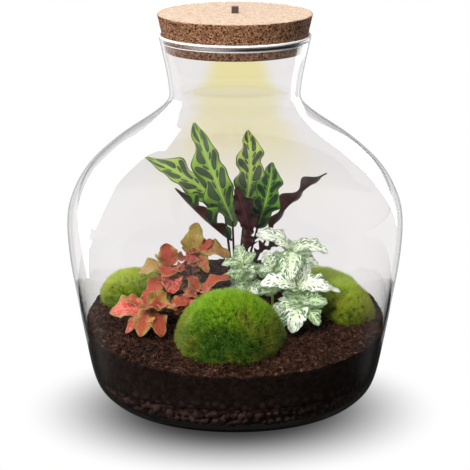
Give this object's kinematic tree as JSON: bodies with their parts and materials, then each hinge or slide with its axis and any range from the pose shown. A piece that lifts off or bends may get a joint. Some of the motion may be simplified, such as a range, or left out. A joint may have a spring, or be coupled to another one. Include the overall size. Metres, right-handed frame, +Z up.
{
  "type": "glass plant terrarium",
  "caption": "Round-bellied clear glass jar with a flared neck and a cork stopper that holds a small lamp, planted with moss, a rattlesnake plant and nerve plants in soil over pebbles.",
  "frame": {"origin": "middle of the jar's flat foot, on the surface that the jar stands on", "axes": "+Z up through the middle of the jar and its cork, the front of the planting towards -Y, +X to the right as seen from the front"},
  "size_m": [0.255, 0.255, 0.305],
  "materials": {
    "glass": "polished",
    "cork": "matte",
    "lamp_housing": "satin",
    "lamp_board": "satin",
    "lamp_battery": "satin",
    "lamp_diffuser": "satin",
    "lamp_button": "satin",
    "pebbles": "matte",
    "soil": "matte",
    "moss": "matte",
    "rattlesnake_leaf": "satin",
    "red_nerve_leaf": "satin",
    "white_nerve_leaf": "satin"
  },
  "bodies": {
    "root": {"glass_jar": "glass", "cork_lid": "cork", "lamp_housing": "lamp_housing", "lamp_board": "lamp_board", "lamp_battery": "lamp_battery", "lamp_diffuser": "lamp_diffuser", "lamp_button": "lamp_button", "drainage_pebbles": "pebbles", "soil": "soil", "moss_front": "moss", "moss_left": "moss", "moss_right": "moss", "rattlesnake_leaf_1": "rattlesnake_leaf", "rattlesnake_leaf_2": "rattlesnake_leaf", "rattlesnake_leaf_3": "rattlesnake_leaf", "rattlesnake_leaf_4": "rattlesnake_leaf", "rattlesnake_leaf_5": "rattlesnake_leaf", "rattlesnake_leaf_6": "rattlesnake_leaf", "rattlesnake_leaf_7": "rattlesnake_leaf", "rattlesnake_leaf_8": "rattlesnake_leaf", "rattlesnake_leaf_9": "rattlesnake_leaf", "rattlesnake_leaf_10": "rattlesnake_leaf", "nerve_red_back": "red_nerve_leaf", "nerve_red_left": "red_nerve_leaf", "nerve_red_runner": "red_nerve_leaf", "nerve_red_front": "red_nerve_leaf", "nerve_white_tall": "white_nerve_leaf", "nerve_white_middle": "white_nerve_leaf", "nerve_white_low": "white_nerve_leaf", "nerve_white_left": "white_nerve_leaf", "nerve_white_inner": "white_nerve_leaf", "nerve_white_sprout": "white_nerve_leaf"}
  },
  "joints": []
}
